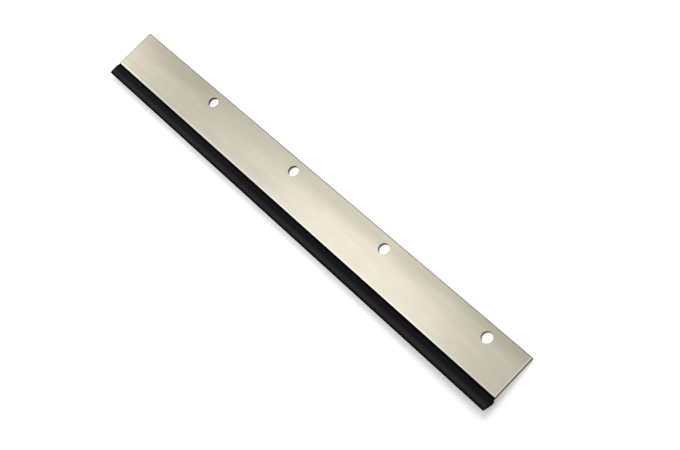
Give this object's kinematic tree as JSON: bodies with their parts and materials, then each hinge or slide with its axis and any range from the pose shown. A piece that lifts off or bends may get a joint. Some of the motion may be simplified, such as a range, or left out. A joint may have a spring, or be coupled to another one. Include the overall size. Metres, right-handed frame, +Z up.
{
  "type": "press wash-up blade",
  "caption": "Long flat steel strip with a row of round mounting holes and a bonded black rubber wiping blade along one edge, for scraping wash fluid off ink rollers.",
  "frame": {"origin": "under the middle of the whole part, on the level of the rubber's belly, its lowest face", "axes": "+X along the blade, +Y across it towards the edge with the holes, +Z up out of the strip's upper face"},
  "size_m": [0.475, 0.05, 0.0058],
  "materials": {
    "satin_steel": "satin, warm grey, faint lengthwise brushing",
    "black_rubber": "moulded, soft satin black"
  },
  "bodies": {
    "root": {"steel_strip": "satin_steel", "rubber_blade": "black_rubber"}
  },
  "joints": []
}
